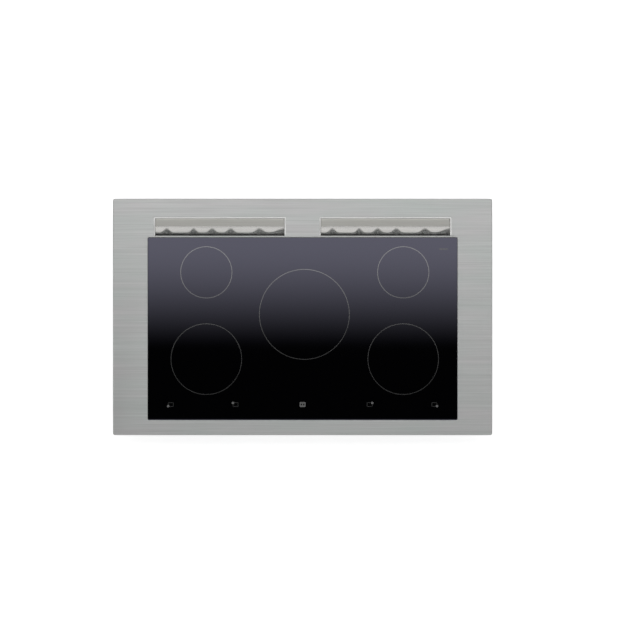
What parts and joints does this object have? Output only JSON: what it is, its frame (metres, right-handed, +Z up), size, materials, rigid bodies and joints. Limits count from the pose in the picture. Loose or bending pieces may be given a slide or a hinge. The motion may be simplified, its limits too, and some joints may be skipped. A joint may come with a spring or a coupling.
{
  "type": "electric induction cooktop",
  "caption": "Drop-in induction cooktop: brushed steel top, inset black ceramic glass with ring-marked zones and touch symbols, rear air vents, steel case with coils and fans.",
  "frame": {"origin": "on the underside of the case, below the middle of the steel top", "axes": "+X to the user's right, +Y away from the user, +Z up"},
  "size_m": [0.962, 0.6, 0.072],
  "materials": {
    "brushed_steel": "stainless steel brushed from left to right, satin",
    "polished_steel": "stainless steel polished to a near mirror, slightly wavy where it is bent",
    "black_glass": "opaque black ceramic glass, gloss, with thin light grey screen-printed rings and symbols",
    "silicone": "black silicone, semi-matt",
    "galvanised_steel": "galvanised sheet steel with a faint spangle",
    "foam": "closed-cell foam tape, matt dark grey",
    "mica": "pressed mica and fibre sheet, matt buff",
    "grey_plastic": "moulded grey plastic, fine texture",
    "dark_plastic": "glass-filled black plastic, fine texture",
    "circuit_board": "green solder mask with fitted parts",
    "aluminium": "mill-finish aluminium",
    "copper": "varnished copper litz wire",
    "spring_steel": "blued spring steel",
    "zinc_plated_steel": "bright zinc plate with a faint yellow cast"
  },
  "bodies": {
    "case": {"top_frame": "brushed_steel", "glass_panel": "black_glass", "glass_seal": "silicone", "glass_support": "galvanised_steel", "bottom_tray": "galvanised_steel", "foam_seal": "foam", "insulation_sheet": "mica", "vent_insert_left": "polished_steel", "wing_stiffener_left": "galvanised_steel", "module_base_left": "grey_plastic", "power_board_left": "circuit_board", "heat_sink_left": "aluminium", "fan_housing_left": "dark_plastic", "vent_insert_right": "polished_steel", "wing_stiffener_right": "galvanised_steel", "module_base_right": "grey_plastic", "power_board_right": "circuit_board", "heat_sink_right": "aluminium", "fan_housing_right": "dark_plastic", "coil_carrier_left": "aluminium", "coil_carrier_centre": "aluminium", "coil_carrier_right": "aluminium", "touch_board": "circuit_board", "touch_housing": "dark_plastic", "filter_board": "circuit_board", "terminal_box": "dark_plastic", "terminal_block": "grey_plastic", "cable_gland": "dark_plastic", "clamp_bracket_front_right": "zinc_plated_steel", "clamp_bracket_rear_right": "zinc_plated_steel", "clamp_bracket_front_left": "zinc_plated_steel", "clamp_bracket_rear_left": "zinc_plated_steel"},
    "fan_left": {"fan_rotor_left": "dark_plastic"},
    "fan_right": {"fan_rotor_right": "dark_plastic"},
    "coil_rear_left": {"coil_winding_rear_left": "copper", "coil_former_rear_left": "dark_plastic", "coil_spring_rear_left": "spring_steel"},
    "coil_rear_right": {"coil_winding_rear_right": "copper", "coil_former_rear_right": "dark_plastic", "coil_spring_rear_right": "spring_steel"},
    "coil_front_left": {"coil_winding_front_left": "copper", "coil_former_front_left": "dark_plastic", "coil_spring_front_left": "spring_steel"},
    "coil_front_right": {"coil_winding_front_right": "copper", "coil_former_front_right": "dark_plastic", "coil_spring_front_right": "spring_steel"},
    "coil_centre": {"coil_winding_centre": "copper", "coil_former_centre": "dark_plastic", "coil_spring_centre": "spring_steel"},
    "clamp_screw_front_right": {"clamp_screw_front_right": "zinc_plated_steel"},
    "clamp_arm_front_right": {"clamp_arm_front_right": "zinc_plated_steel"},
    "clamp_screw_rear_right": {"clamp_screw_rear_right": "zinc_plated_steel"},
    "clamp_arm_rear_right": {"clamp_arm_rear_right": "zinc_plated_steel"},
    "clamp_screw_front_left": {"clamp_screw_front_left": "zinc_plated_steel"},
    "clamp_arm_front_left": {"clamp_arm_front_left": "zinc_plated_steel"},
    "clamp_screw_rear_left": {"clamp_screw_rear_left": "zinc_plated_steel"},
    "clamp_arm_rear_left": {"clamp_arm_rear_left": "zinc_plated_steel"},
    "terminal_lid": {"terminal_lid": "dark_plastic"}
  },
  "joints": [
    {"name": "fan_left_spin", "type": "hinge", "parent": "case", "child": "fan_left", "pos_m": [-0.232, -0.178, 0.02], "axis": [0, 0, 1], "continuous": true},
    {"name": "fan_right_spin", "type": "hinge", "parent": "case", "child": "fan_right", "pos_m": [0.232, -0.178, 0.02], "axis": [0, 0, 1], "continuous": true},
    {"name": "coil_rear_left_travel", "type": "slide", "parent": "case", "child": "coil_rear_left", "axis": [0, 0, 1], "range_m": [-0.003, 0], "stiffness_N_per_m": 4000, "springref_m": 0.005, "deforming": ["coil_spring_rear_left"]},
    {"name": "coil_rear_right_travel", "type": "slide", "parent": "case", "child": "coil_rear_right", "axis": [0, 0, 1], "range_m": [-0.003, 0], "stiffness_N_per_m": 4000, "springref_m": 0.005, "deforming": ["coil_spring_rear_right"]},
    {"name": "coil_front_left_travel", "type": "slide", "parent": "case", "child": "coil_front_left", "axis": [0, 0, 1], "range_m": [-0.003, 0], "stiffness_N_per_m": 4000, "springref_m": 0.005, "deforming": ["coil_spring_front_left"]},
    {"name": "coil_front_right_travel", "type": "slide", "parent": "case", "child": "coil_front_right", "axis": [0, 0, 1], "range_m": [-0.003, 0], "stiffness_N_per_m": 4000, "springref_m": 0.005, "deforming": ["coil_spring_front_right"]},
    {"name": "coil_centre_travel", "type": "slide", "parent": "case", "child": "coil_centre", "axis": [0, 0, 1], "range_m": [-0.003, 0], "stiffness_N_per_m": 4000, "springref_m": 0.005, "deforming": ["coil_spring_centre"]},
    {"name": "clamp_front_right_turn", "type": "hinge", "parent": "case", "child": "clamp_screw_front_right", "pos_m": [0.4115, -0.15, 0.03], "axis": [0, 0, -1], "range_deg": [0, 90]},
    {"name": "clamp_front_right_climb", "type": "slide", "parent": "clamp_screw_front_right", "child": "clamp_arm_front_right", "axis": [0, 0, 1], "range_m": [0, 0.026]},
    {"name": "clamp_rear_right_turn", "type": "hinge", "parent": "case", "child": "clamp_screw_rear_right", "pos_m": [0.4115, 0.11, 0.03], "axis": [0, 0, -1], "range_deg": [0, 90]},
    {"name": "clamp_rear_right_climb", "type": "slide", "parent": "clamp_screw_rear_right", "child": "clamp_arm_rear_right", "axis": [0, 0, 1], "range_m": [0, 0.026]},
    {"name": "clamp_front_left_turn", "type": "hinge", "parent": "case", "child": "clamp_screw_front_left", "pos_m": [-0.4115, -0.11, 0.03], "axis": [0, 0, -1], "range_deg": [0, 90]},
    {"name": "clamp_front_left_climb", "type": "slide", "parent": "clamp_screw_front_left", "child": "clamp_arm_front_left", "axis": [0, 0, 1], "range_m": [0, 0.026]},
    {"name": "clamp_rear_left_turn", "type": "hinge", "parent": "case", "child": "clamp_screw_rear_left", "pos_m": [-0.4115, 0.15, 0.03], "axis": [0, 0, -1], "range_deg": [0, 90]},
    {"name": "clamp_rear_left_climb", "type": "slide", "parent": "clamp_screw_rear_left", "child": "clamp_arm_rear_left", "axis": [0, 0, 1], "range_m": [0, 0.026]},
    {"name": "terminal_lid_hinge", "type": "hinge", "parent": "case", "child": "terminal_lid", "pos_m": [-0.389, 0.2656, 0.027], "axis": [0, 0, 1], "range_deg": [0, 105]}
  ]
}
